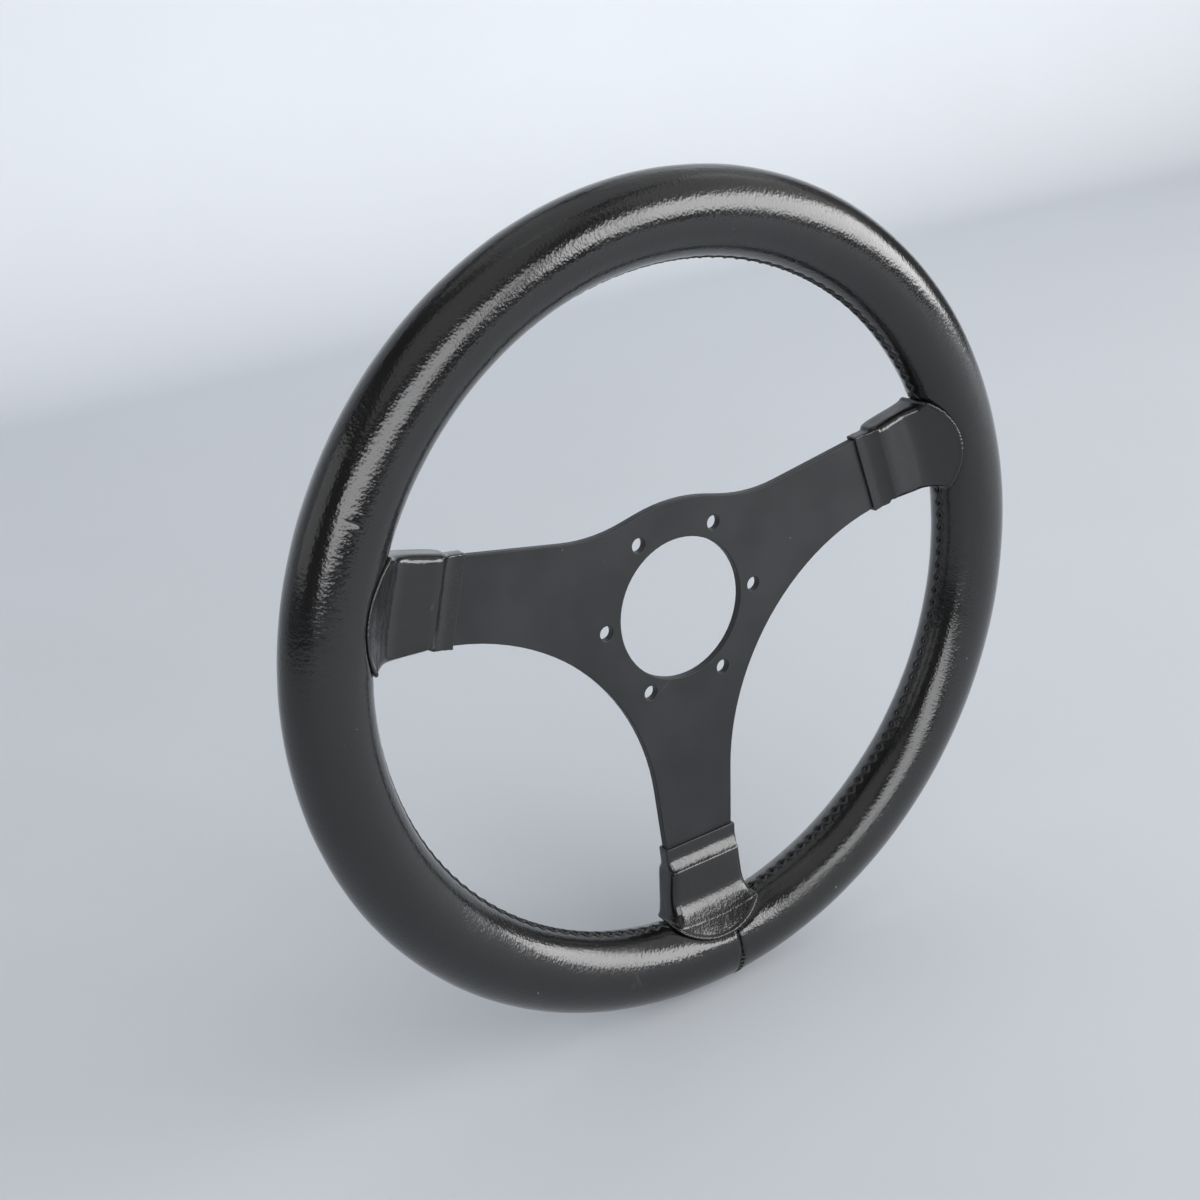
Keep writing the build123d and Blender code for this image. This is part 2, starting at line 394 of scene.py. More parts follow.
@dataclass(frozen=True)
class LeatherFinish:
    """Worn, polished black leather with a pebble grain and longer creases."""

    name: str
    turn: float = 0.0
    on_rim: bool = False
    colour: tuple[float, float, float] = (0.0040, 0.0038, 0.0040)
    worn_colour: tuple[float, float, float] = (0.040, 0.037, 0.033)
    rough_low: float = 0.13
    rough_high: float = 0.20
    gloss: float = 0.55
    polish: float = 0.30
    pebble: float = 900.0
    pebble_depth: float = 0.070 * MM
    crease: float = 800.0
    crease_depth: float = 0.11 * MM
    crease_stretch: tuple[float, float, float] = (1.0, 0.60, 1.0)

    def material(self) -> bpy.types.Material:
        """Builds the node material."""
        sheet = NodeSheet(self.name)
        place = sheet.grain_place() if self.on_rim else sheet.place()
        turned = sheet.stretch(place, (1.0, 1.0, 1.0), self.turn)
        stretched = sheet.stretch(place, self.crease_stretch, self.turn)
        patches = sheet.noise(turned, 26.0, 3.0, 0.55)
        pebble = sheet.cells(turned, self.pebble)
        crease = sheet.noise(stretched, self.crease, 4.0, 0.6, 0.4)
        fold = sheet.noise(stretched, self.crease * 0.33, 2.0, 0.5, 0.2)
        folds = sheet.remap(fold, 0.38, 0.62, 0.0, 1.0)
        strong = sheet.remap(patches, 0.40, 0.64, 0.35, 1.0)
        wear = sheet.attribute(WEAR)
        crease_height = sheet.math("MULTIPLY", crease, strong)
        normal = sheet.bump(folds, self.crease_depth * 0.12)
        normal = sheet.bump(crease_height, self.crease_depth, normal)
        normal = sheet.bump(pebble, self.pebble_depth, normal)
        dust = sheet.remap(sheet.cells(turned, 95.0), 0.028, 0.05, 1.0, 0.0)
        dust_here = sheet.math("MULTIPLY", dust, sheet.remap(patches, 0.5, 0.6, 0.0, 0.5))
        base = sheet.blend(sheet.remap(patches, 0.3, 0.75, 0.0, 1.0), self.colour,
                           tuple(c * 1.5 for c in self.colour))
        base = sheet.blend(wear, base, self.worn_colour)
        base = sheet.blend(dust_here, base, (0.32, 0.31, 0.29))
        rough = sheet.remap(sheet.math("ADD", patches, sheet.math("MULTIPLY", crease, 0.35)),
                            0.45, 0.85, self.rough_low, self.rough_high)
        rough = sheet.math("ADD", rough, sheet.math("MULTIPLY", wear, 0.22))
        sheet.set(Base_Color=base, Roughness=rough, Normal=normal)
        sheet.set(Specular_IOR_Level=self.gloss, Coat_Weight=self.polish, Coat_Roughness=0.09)
        return sheet.material


@dataclass(frozen=True)
class SatinPlateFinish:
    """Black satin metal with a very fine even tooth, faint rubs and a few specks."""

    name: str = "satin_black_plate"
    colour: tuple[float, float, float] = (0.011, 0.0115, 0.013)
    light_colour: tuple[float, float, float] = (0.016, 0.017, 0.019)
    rough: float = 0.44
    tooth: float = 2600.0
    tooth_depth: float = 0.012 * MM

    def material(self) -> bpy.types.Material:
        """Builds the node material."""
        sheet = NodeSheet(self.name)
        place = sheet.place()
        clouds = sheet.noise(place, 34.0, 4.0, 0.6)
        tooth = sheet.noise(place, self.tooth, 2.0, 0.6)
        lines = sheet.stretch(place, (14.0, 1.0, 420.0), 34.0)
        scratch = sheet.remap(sheet.noise(lines, 1.0, 2.0, 0.5), 0.70, 0.76, 0.0, 1.0)
        where = sheet.remap(sheet.noise(place, 55.0, 1.0), 0.55, 0.68, 0.0, 0.5)
        rub = sheet.math("MULTIPLY", scratch, where)
        speck = sheet.remap(sheet.cells(place, 130.0), 0.03, 0.055, 0.55, 0.0)
        speck = sheet.math("MULTIPLY", speck, sheet.remap(clouds, 0.48, 0.58, 0.0, 1.0))
        base = sheet.blend(sheet.remap(clouds, 0.35, 0.7, 0.0, 1.0), self.colour, self.light_colour)
        base = sheet.blend(rub, base, (0.13, 0.13, 0.135))
        base = sheet.blend(speck, base, (0.30, 0.29, 0.27))
        rough = sheet.remap(clouds, 0.3, 0.7, self.rough - 0.04, self.rough + 0.05)
        sheet.set(Base_Color=base, Roughness=rough, Normal=sheet.bump(tooth, self.tooth_depth))
        sheet.set(Metallic=0.0, Specular_IOR_Level=0.40)
        return sheet.material


@dataclass(frozen=True)
class SteelFinish:
    """Plain rolled or turned steel, a little dull, with fine drawn lines."""

    name: str
    colour: tuple[float, float, float]
    rough: float = 0.42

    def material(self) -> bpy.types.Material:
        """Builds the node material."""
        sheet = NodeSheet(self.name)
        place = sheet.place()
        drawn = sheet.noise(sheet.stretch(place, (60.0, 1800.0, 60.0)), 1.0, 3.0, 0.6)
        stain = sheet.noise(place, 70.0, 4.0, 0.6)
        base = sheet.blend(sheet.remap(stain, 0.35, 0.7, 0.0, 1.0), self.colour,
                           tuple(c * 0.7 for c in self.colour))
        rough = sheet.remap(stain, 0.3, 0.7, self.rough - 0.08, self.rough + 0.1)
        sheet.set(Base_Color=base, Roughness=rough, Normal=sheet.bump(drawn, 0.01 * MM))
        sheet.set(Metallic=1.0)
        return sheet.material


@dataclass(frozen=True)
class FoamFinish:
    """Dark moulded foam with fine open pores, whose middles are painted darker as painted shade."""

    name: str = "moulded_foam"
    colour: tuple[float, float, float] = (0.035, 0.034, 0.033)

    def material(self) -> bpy.types.Material:
        """Builds the node material."""
        sheet = NodeSheet(self.name)
        place = sheet.place()
        pores = sheet.cells(place, 1100.0)
        clouds = sheet.noise(place, 60.0, 3.0)
        # The pores' middles are painted darker: painted shade in the open pores.
        base = sheet.blend(sheet.remap(pores, 0.1, 0.5, 0.0, 1.0),
                           tuple(c * 0.4 for c in self.colour), self.colour)
        rough = sheet.remap(clouds, 0.3, 0.7, 0.82, 0.95)
        sheet.set(Base_Color=base, Roughness=rough, Normal=sheet.bump(pores, 0.08 * MM))
        return sheet.material


@dataclass(frozen=True)
class ThreadFinish:
    """Waxed black thread, twisted from fine strands, with a patchy painted highlight on the strands'
    raised crests.
    """

    name: str = "waxed_thread"
    colour: tuple[float, float, float] = (0.010, 0.010, 0.011)
    # The colour of the painted highlight on the twist's raised crests.
    light_colour: tuple[float, float, float] = (0.026, 0.025, 0.024)
    twist: float = 1900.0

    def material(self) -> bpy.types.Material:
        """Builds the node material."""
        sheet = NodeSheet(self.name)
        place = sheet.grain_place()
        strands = sheet.add("ShaderNodeTexWave", wave_type="BANDS", bands_direction="DIAGONAL")
        sheet.put(strands.inputs["Vector"], place)
        strands.inputs["Scale"].default_value = self.twist
        strands.inputs["Distortion"].default_value = 0.6
        band = strands.outputs["Fac"]
        fuzz = sheet.noise(sheet.place(), 1500.0, 2.0)
        # The twist's raised crests are painted lighter in patches: a painted highlight along the
        # strands.
        base = sheet.blend(sheet.math("MULTIPLY", band, fuzz), self.colour, self.light_colour)
        rough = sheet.remap(fuzz, 0.3, 0.7, 0.42, 0.6)
        sheet.set(Base_Color=base, Roughness=rough, Normal=sheet.bump(band, 0.05 * MM))
        return sheet.material


@dataclass(frozen=True)
class PaleFinish:
    """The plain pale paint of the studio floor and backdrop."""

    name: str = "pale_studio"
    colour: tuple[float, float, float] = (0.70, 0.73, 0.77)

    def material(self) -> bpy.types.Material:
        """Builds the node material."""
        sheet = NodeSheet(self.name)
        clouds = sheet.noise(sheet.place(), 3.0, 3.0)
        base = sheet.blend(sheet.remap(clouds, 0.3, 0.7, 0.0, 1.0), self.colour,
                           tuple(c * 0.985 for c in self.colour))
        sheet.set(Base_Color=base, Roughness=0.75)
        return sheet.material


def make_mesh(name: str, points: Array, faces: Array, places: Optional[Array] = None,
              wear: Optional[Array] = None) -> bpy.types.Object:
    """Makes a smooth shaded mesh object.

    Args:
        name: The object's name.
        points: Rows of coordinates.
        faces: Rows of four point numbers.
        places: For each point its place on the leather, in metres.
        wear: For each point how worn it is, from 0 to 1.

    Returns:
        The new object, linked to the scene.
    """
    mesh = bpy.data.meshes.new(name)
    mesh.from_pydata(points.tolist(), [], faces.tolist())
    mesh.polygons.foreach_set("use_smooth", np.ones(len(mesh.polygons), bool))
    if places is not None:
        layer = mesh.uv_layers.new(name=GRAIN_MAP)
        corners = np.zeros(len(mesh.loops), np.int32)
        mesh.loops.foreach_get("vertex_index", corners)
        layer.data.foreach_set("uv", places[corners].astype(np.float32).ravel())
    add_wear(mesh, np.zeros(len(points)) if wear is None else wear)
    mesh.update()
    made = bpy.data.objects.new(name, mesh)
    bpy.context.scene.collection.objects.link(made)
    return made


def add_wear(mesh: bpy.types.Mesh, wear: Array) -> None:
    """Stores how worn each point is on a mesh."""
    layer = mesh.attributes.new(WEAR, "FLOAT", "POINT")
    layer.data.foreach_set("value", wear.astype(np.float32))


def grid_faces(rows: int, columns: int) -> Array:
    """The faces between the points of an open grid, counted row by row."""
    row, column = np.meshgrid(np.arange(rows - 1), np.arange(columns - 1), indexing="ij")
    first = (row * columns + column).ravel()
    return np.stack([first, first + 1, first + columns + 1, first + columns], axis=1)


def attach(piece: bpy.types.Object, slot: Slot, material: bpy.types.Material, *nodes: str) -> None:
    """Gives a new piece its finish and its place in the frame.

    Args:
        piece: The piece.
        slot: Not used.
        material: Its material.
        nodes: The nodes that it stands for.
    """
    piece.data.materials.clear()
    piece.data.materials.append(material)
    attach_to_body(piece, ROOT)
    if nodes:
        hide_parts(*nodes)
    LOG.info("%s: %d faces", piece.name, len(piece.data.polygons))


@dataclass(frozen=True)
class Mark:
    """A small scar on the grip: its place, its size and how deep it is."""

    around: float
    section: float
    long: float
    wide: float
    turn: float
    depth: float
    wear: float

    def share(self, around: Array, section: Array) -> Array:
        """How strongly each place of the grip is touched by the scar.

        Args:
            around: Angles round the wheel in radians.
            section: Angles round the section in radians.

        Returns:
            Values from 0 to 1.
        """
        radius = WHEEL.rim_radius + WHEEL.grip_half_width * math.cos(math.radians(self.section))
        u = (around - math.radians(self.around)) * radius
        v = WHEEL.section_length(section - math.radians(self.section))
        turn = math.radians(self.turn)
        along = u * math.cos(turn) + v * math.sin(turn)
        aside = v * math.cos(turn) - u * math.sin(turn)
        return np.exp(-((along / self.long) ** 2 + (aside / self.wide) ** 2))


@dataclass
class RimLeather:
    """The one strip of leather round the grip, open along its inner line and cut across once."""

    columns: int = 92
    pitch: float = 1.3 * MM
    joint_half: float = 0.30 * MM
    joint_depth: float = 1.1 * MM
    joint_roll: float = 0.9 * MM
    slit_half: float = 0.35 * MM
    edge_roll: float = 0.55 * MM
    pucker_pitch: float = 6.0 * MM
    pucker: float = 0.08 * MM
    swell: float = 0.08 * MM
    crease: float = 0.020 * MM
    groove: float = 0.50 * MM
    groove_width: float = 1.3 * MM
    tuck: float = 3.2 * MM
    wrinkled: tuple[float, float] = (138.0, 196.0)
    wrinkle_pitch: float = 0.7 * MM
    wrinkle: float = 0.035 * MM
    marks: tuple[Mark, ...] = (
        Mark(151.4, -72.0, 0.50 * MM, 1.7 * MM, 8.0, 0.22 * MM, 0.1),
        Mark(152.1, -75.0, 0.80 * MM, 1.5 * MM, -6.0, -0.13 * MM, 0.2),
        Mark(252.0, -97.0, 0.5 * MM, 3.0 * MM, -35.0, 0.2 * MM, 0.5),
        Mark(251.2, -90.0, 0.7 * MM, 1.2 * MM, 20.0, 0.14 * MM, 0.5),
    )

    def around(self) -> Array:
        """The rows' angles: even, and closer together at the joint and at the scars."""
        start = math.radians(WHEEL.joint_angle)
        near = np.array([0.0, 0.25, 0.5, 0.8, 1.2, 1.7, 2.3, 3.0, 3.9]) * MM / WHEEL.rim_radius
        even = np.linspace(5.0 * MM, 2 * math.pi * WHEEL.rim_radius - 5.0 * MM,
                           int(2 * math.pi * WHEEL.rim_radius / self.pitch)) / WHEEL.rim_radius
        angles = [start + near, start + even, start + 2 * math.pi - near]
        first, last = (math.radians(angle) + 2 * math.pi for angle in self.wrinkled)
        angles.append(np.arange(first, last, self.wrinkle_pitch / WHEEL.rim_radius))
        for mark in self.marks:
            middle = math.radians(mark.around)
            middle += 2 * math.pi * (middle < start)
            angles.append(middle + np.linspace(-4.0, 4.0, 15) * MM / WHEEL.rim_radius)
        return np.unique(np.round(np.concatenate(angles), 6))

    def section(self) -> Array:
        """The columns' angles, from one edge of the slit over the front to the other edge."""
        edge = math.asin(self.slit_half / WHEEL.grip_half_depth)
        fine = np.array([0.0, 0.0, 0.35, 0.8]) * MM / WHEEL.grip_half_depth
        last = edge + 1.4 * MM / WHEEL.grip_half_depth
        plain = np.linspace(-math.pi + last, math.pi - last, self.columns - 8)
        return np.concatenate([-math.pi + edge + fine, plain, math.pi - edge - fine[::-1]])

    def flap_distance(self, points: Array) -> Array:
        """The distance of each point from the nearest flap's edge, in the front view."""
        return np.min([spoke.beyond_flap(points[:, 0], points[:, 2]) for spoke in SPOKES], axis=0)

    def wrinkles(self, around: Array, section: Array) -> Array:
        """How deep the fine cross wrinkles are where the hands have pressed the left side.

        Args:
            around: Angles round the wheel.
            section: Angles round the section.

        Returns:
            Values from 0 to 1.
        """
        turn = np.degrees(around) % 360
        first, last = self.wrinkled
        zone = smooth_step(first, first + 12.0, turn) * (1 - smooth_step(last - 25.0, last, turn))
        slope = np.degrees(section)
        zone = zone * smooth_step(-112.0, -85.0, slope) * (1 - smooth_step(-48.0, -20.0, slope))
        deep = np.zeros(len(around))
        here = zone > 0
        length = WHEEL.section_length(section[here])
        flat = np.stack([around[here] * WHEEL.rim_radius * 330.0, length * 95.0, length * 0.0], axis=1)
        lines = np.abs(noise_at(flat, 1.0, 2, 21.0))
        deep[here] = zone[here] * (1 - smooth_step(0.0, 0.32, lines))
        return deep

    def lift(self, around: Array, section: Array, points: Array) -> Array:
        """How far the leather stands off the even skin at each point.

        Args:
            around: Angles round the wheel.
            section: Angles round the section.
            points: The points of the even skin.

        Returns:
            The distances in metres.
        """
        lift = noise_at(points, 42.0, 2, 3.1) * self.swell
        length = WHEEL.section_length(section)
        flat = np.stack([around * WHEEL.rim_radius * 330.0, length * 75.0, length * 0.0], axis=1)
        strong = smooth_step(-0.15, 0.5, noise_at(points, 22.0, 2, 9.0))
        lift += noise_at(flat, 1.0, 3, 5.0) * self.crease * (0.45 + 0.9 * strong)
        lift -= self.wrinkles(around, section) * self.wrinkle
        inner = WHEEL.section_length(math.pi - np.abs(section))
        phase = around * WHEEL.inner_radius / self.pucker_pitch * 2 * math.pi
        lift += np.cos(phase) * self.pucker * np.exp(-inner / (3.2 * MM))
        beyond = self.flap_distance(points)
        lift -= self.groove * (1 - smooth_step(0.0, self.groove_width, beyond))
        lift += 0.08 * MM * np.exp(-((beyond - 2.6 * MM) / (1.4 * MM)) ** 2)
        start = math.radians(WHEEL.joint_angle)
        off = np.abs((around - start + math.pi) % (2 * math.pi) - math.pi) * WHEEL.rim_radius
        lift -= self.joint_depth * (1 - smooth_step(0.0, self.joint_roll, off))
        lift += 0.08 * MM * np.exp(-((off - 2.2 * MM) / (1.2 * MM)) ** 2)
        for mark in self.marks:
            lift -= mark.depth * mark.share(around % (2 * math.pi), section)
        return lift

    def build(self) -> bpy.types.Object:
        """Builds the strip, without what lies deep under the boots."""
        rows = self.around()
        columns = self.section()
        around, section = (grid.ravel() for grid in np.meshgrid(rows, columns, indexing="ij"))
        even = WHEEL.on_grip(around, section, np.zeros(len(around)))
        lift = self.lift(around, section, even)
        column = np.tile(np.arange(len(columns)), len(rows))
        outermost = (column == 0) | (column == len(columns) - 1)
        second = (column == 1) | (column == len(columns) - 2)
        lift = np.where(outermost, -1.1 * MM, np.where(second, lift - self.edge_roll, lift))
        gap = self.joint_half / WHEEL.rim_radius
        first = math.radians(WHEEL.joint_angle)
        share = (around - first) / (2 * math.pi)
        moved = around + gap * (1 - 2 * share)
        points = WHEEL.on_grip(moved, section, lift)
        wear = np.zeros(len(around))
        for mark in self.marks:
            wear = np.maximum(wear, mark.wear * mark.share(around % (2 * math.pi), section))
        places = np.stack([around * WHEEL.rim_radius, WHEEL.section_length(section)], axis=1)
        faces = grid_faces(len(rows), len(columns))
        keep = self.flap_distance(even)[faces].max(axis=1) > -self.tuck
        return make_mesh("rim_leather_skin", points, faces[keep], places, wear)


@dataclass
class SpokeBoot:
    """The leather boot of one spoke: collar, ramp, padded block and the flap on the grip."""

    spoke: Spoke
    grain_depth: float = 0.06 * MM
    collar_ripple: float = 0.03 * MM
    ripple_from: float = -20.0 * MM
    voxel: float = 0.5 * MM
    smoothing: int = 5
    lip: float = 0.40 * MM
    lip_width: float = 1.6 * MM
    swell: float = 0.13 * MM
    step_ramp: tuple[float, float] = (-4.4 * MM, 2.6 * MM)
    plain_step: tuple[float, float] = (-1.6 * MM, 2.8 * MM)
    collar_height: float = 2.95 * MM
    block_height: float = 6.25 * MM
    cove: tuple[float, float] = (130.0 * MM, 148.5 * MM)
    cove_slope: float = 0.6
    cove_front: tuple[float, float] = (137.0 * MM, 140.0 * MM)
    cove_soft: tuple[float, float] = (130.0 * MM, 136.0 * MM)
    block_half: float = 18.6 * MM
    block_flare: float = 0.1
    side_fade: float = 3.0 * MM
    cove_smoothing: int = 14
    scuffs: tuple[tuple[float, float, float, float], ...] = ()

    def source(self, node: bpy.types.Object) -> bpy.types.Mesh:
        """A fine even mesh over the boot's solid.

        Args:
            node: The boot's node.

        Returns:
            The new mesh.
        """
        draft = bpy.data.objects.new("draft", node.data.copy())
        bpy.context.scene.collection.objects.link(draft)
        remesh = draft.modifiers.new("even", "REMESH")
        remesh.mode = "VOXEL"
        remesh.voxel_size = self.voxel
        soft = draft.modifiers.new("soft", "SMOOTH")
        soft.factor = 0.5
        soft.iterations = self.smoothing
        graph = bpy.context.evaluated_depsgraph_get()
        mesh = bpy.data.meshes.new_from_object(draft.evaluated_get(graph))
        bpy.data.objects.remove(draft)
        return mesh

    def front_height(self, radius: Array) -> Array:
        """How far the front of the block or the grip stands off the plate's middle at a radius."""
        share = np.clip((radius - WHEEL.rim_radius) / WHEEL.grip_half_width, -1.0, 1.0)
        grip = -WHEEL.grip_y + WHEEL.grip_half_depth * np.sqrt(1.0 - share ** 2) - WHEEL.plate / 2
        return np.where(share <= -1.0, self.block_height, np.maximum(self.block_height, grip))

    def stretch_front(self, points: Array, normals: Array) -> Array:
        """Draws the leather tight over the step and from the block up onto the grip.

        Args:
            points: Rows of coordinates.
            normals: For each point the direction that its surface faces.

        Returns:
            The moved points.
        """
        along, across = self.spoke.local(points[:, 0], points[:, 2])
        radius = np.hypot(points[:, 0], points[:, 2])
        height = -points[:, 1] - WHEEL.plate / 2
        first, last = self.cove
        share = np.clip((radius - first) / (last - first), 0.0, 1.0)
        top = self.front_height(np.array([last]))[0]
        rise = (self.block_height * (2 * share ** 3 - 3 * share ** 2 + 1)
                + top * (3 * share ** 2 - 2 * share ** 3)
                + (last - first) * self.cove_slope * (share ** 3 - share ** 2))
        now = self.front_height(radius)
        goal = np.where(share < 1.0, np.maximum(now, rise), now)
        lean = math.tan(math.radians(self.spoke.block_angle - self.spoke.facing))
        aside = np.abs(across - along * lean) - (self.block_half + along * self.block_flare)
        goal = now + (goal - now) * (1 - smooth_step(0.0, self.side_fade, aside))
        start, end = self.step_ramp
        climb = np.clip((along - start) / (end - start), 0.0, 1.0) ** 1.5
        full = self.block_height - self.collar_height
        ramp = self.collar_height + full * climb
        plain = self.collar_height + full * smooth_step(*self.plain_step, along)
        on_step = along < end
        now = np.where(on_step, plain, now)
        goal = np.where(on_step, np.maximum(ramp, now), goal)
        share = np.clip(height / now, 0.0, 1.3)
        lifted = np.where(height > 0, height + share * (goal - now), height)
        on_cove = smooth_step(*self.cove_front, radius)
        on_cove = on_cove * (1 - smooth_step(-1.0 * MM, self.side_fade, aside))
        outer = smooth_step(0.2, 0.6, -normals[:, 1]) * smooth_step(0.60, 0.84, height / now)
        on_front = outer * np.maximum(on_cove, on_step)
        lifted = lifted + on_front * (goal - lifted)
        moved = points.copy()
        moved[:, 1] = -lifted - WHEEL.plate / 2
        return moved

    def soften(self, points: Array, edges: Array) -> Array:
        """Rounds the leather where it climbs the step and the grip.

        Args:
            points: Rows of coordinates.
            edges: Rows of two point numbers.

        Returns:
            The moved points.
        """
        along, _ = self.spoke.local(points[:, 0], points[:, 2])
        beyond = self.spoke.beyond_flap(points[:, 0], points[:, 2])
        radius = np.hypot(points[:, 0], points[:, 2])
        share = smooth_step(*self.cove_soft, radius) * smooth_step(-1.2 * MM, -3.0 * MM, beyond)
        share = np.maximum(share, np.exp(-((along + 1.0 * MM) / (3.0 * MM)) ** 2) * 0.5)
        first, second = edges[:, 0], edges[:, 1]
        count = np.bincount(edges.ravel(), minlength=len(points))[:, None]
        for _ in range(self.cove_smoothing):
            total = np.stack([np.bincount(first, points[second, k], len(points))
                              + np.bincount(second, points[first, k], len(points))
                              for k in range(3)], axis=1)
            points = points + (total / count - points) * share[:, None] * 0.6
        return points

    def shape(self, points: Array) -> Array:
        """How far each point moves out along its normal.

        Args:
            points: Rows of coordinates.

        Returns:
            The distances in metres.
        """
        along, across = self.spoke.local(points[:, 0], points[:, 2])
        depth = points[:, 1]
        beyond = self.spoke.beyond_flap(points[:, 0], points[:, 2])
        away = noise_at(points, 75.0, 2, 2.0) * self.swell
        local = np.stack([along * 0.35, across, depth * 0.6], axis=1)
        away += noise_at(local, 520.0, 3, 7.0) * self.grain_depth
        ripple = np.sin(across * 2 * math.pi / (1.9 * MM) + 3.5 * noise_at(points, 160.0, 2, 4.0))
        on_collar = smooth_step(-7.4 * MM, -6.4 * MM, along)
        on_collar = on_collar * (1 - smooth_step(-4.6 * MM, -2.8 * MM, along))
        on_collar = on_collar * smooth_step(self.ripple_from, self.ripple_from + 8.0 * MM, -across)
        away += ripple * on_collar * self.collar_ripple
        on_flap = smooth_step(-self.lip_width, -0.5 * MM, beyond)
        aside = np.hypot(points[:, 0], points[:, 2]) - WHEEL.rim_radius
        outer = ((aside / WHEEL.grip_half_width) ** 2
                 + ((depth - WHEEL.grip_y) / WHEEL.grip_half_depth) ** 2)
        away += on_flap * self.lip * smooth_step(0.93, 0.985, outer)
        return away

    def worn(self, points: Array) -> Array:
        """How worn each point is."""
        along, across = self.spoke.local(points[:, 0], points[:, 2])
        wear = np.zeros(len(points))
        for place_along, place_across, long, wide in self.scuffs:
            spot = ((along - place_along) / long) ** 2 + ((across - place_across) / wide) ** 2
            rough = 0.6 + 0.6 * noise_at(points, 900.0, 2, 1.0)
            wear = np.maximum(wear, np.exp(-spot) * np.clip(rough, 0, 1))
        beyond = self.spoke.beyond_flap(points[:, 0], points[:, 2])
        edge = np.exp(-((beyond + 0.2 * MM) / (0.45 * MM)) ** 2) * 0.35
        end = np.exp(-((along + 8.4 * MM) / (0.4 * MM)) ** 2) * 0.35
        return np.clip(wear + edge + end, 0, 1)

    def build(self, node: bpy.types.Object) -> bpy.types.Object:
        """Builds the boot over its solid.

        Args:
            node: The boot's node.

        Returns:
            The new piece.
        """
        mesh = self.source(node)
        count = len(mesh.vertices)
        flat = np.zeros(count * 3)
        mesh.vertices.foreach_get("co", flat)
        edges = np.zeros(len(mesh.edges) * 2, np.int32)
        mesh.edges.foreach_get("vertices", edges)
        normals = np.zeros(count * 3)
        mesh.vertices.foreach_get("normal", normals)
        points = self.stretch_front(flat.reshape(-1, 3), normals.reshape(-1, 3))
        points = self.soften(points, edges.reshape(-1, 2))
        mesh.vertices.foreach_set("co", points.ravel())
        mesh.update()
        mesh.vertices.foreach_get("normal", normals)
        away = self.shape(points)
        add_wear(mesh, self.worn(points))
        mesh.vertices.foreach_set("co", (points + normals.reshape(-1, 3) * away[:, None]).ravel())
        mesh.polygons.foreach_set("use_smooth", np.ones(len(mesh.polygons), bool))
        mesh.update()
        piece = bpy.data.objects.new(f"{self.spoke.name}_boot_leather", mesh)
        bpy.context.scene.collection.objects.link(piece)
        return piece


@dataclass
class ThreadMaker:
    """Lays round threads along lines of points and joins them into one mesh."""

    thick: float
    sides: int = 7

    def __post_init__(self) -> None:
        """Starts with no thread."""
        self.points: list[Array] = []
        self.faces: list[Array] = []
        self.places: list[Array] = []
        self.count = 0

    def lay(self, line: Array, flat: float = 1.0, up: Optional[Array] = None) -> None:
        """Adds one thread that tapers at both ends.

        Args:
            line: Rows of coordinates along the thread.
            flat: The thickness along the up direction, as a share of the width.
            up: For each point the direction away from the leather.
        """
        ahead = np.gradient(line, axis=0)
        ahead /= np.linalg.norm(ahead, axis=1, keepdims=True)
        side = np.cross(ahead, up)
        side /= np.linalg.norm(side, axis=1, keepdims=True)
        over = np.cross(side, ahead)
        share = np.linspace(0.0, 1.0, len(line))
        radius = self.thick / 2 * np.clip(np.sin(math.pi * np.clip(share, 0.02, 0.98)) * 3.0, 0.3, 1.0)
        turn = np.linspace(0.0, 2 * math.pi, self.sides, endpoint=False)
        ring = (side[:, None] * np.cos(turn)[None, :, None]
                + over[:, None] * (np.sin(turn) * flat)[None, :, None])
        points = line[:, None] + ring * radius[:, None, None]
        run = np.concatenate([[0.0], np.cumsum(np.linalg.norm(np.diff(line, axis=0), axis=1))])
        places = np.stack(np.broadcast_arrays(run[:, None], (turn * self.thick / 2)[None]), axis=-1)
        row, column = np.meshgrid(np.arange(len(line) - 1), np.arange(self.sides), indexing="ij")
        after = (column + 1) % self.sides
        corners = (row * self.sides + column, row * self.sides + after,
                   (row + 1) * self.sides + after, (row + 1) * self.sides + column)
        self.faces.append(np.stack([c.ravel() for c in corners], axis=1) + self.count)
        self.points.append(points.reshape(-1, 3))
        self.places.append(places.reshape(-1, 2))
        self.count += len(line) * self.sides

    def piece(self, name: str) -> bpy.types.Object:
        """Joins all threads into one object with this name."""
        return make_mesh(name, np.concatenate(self.points), np.concatenate(self.faces),
                         np.concatenate(self.places))


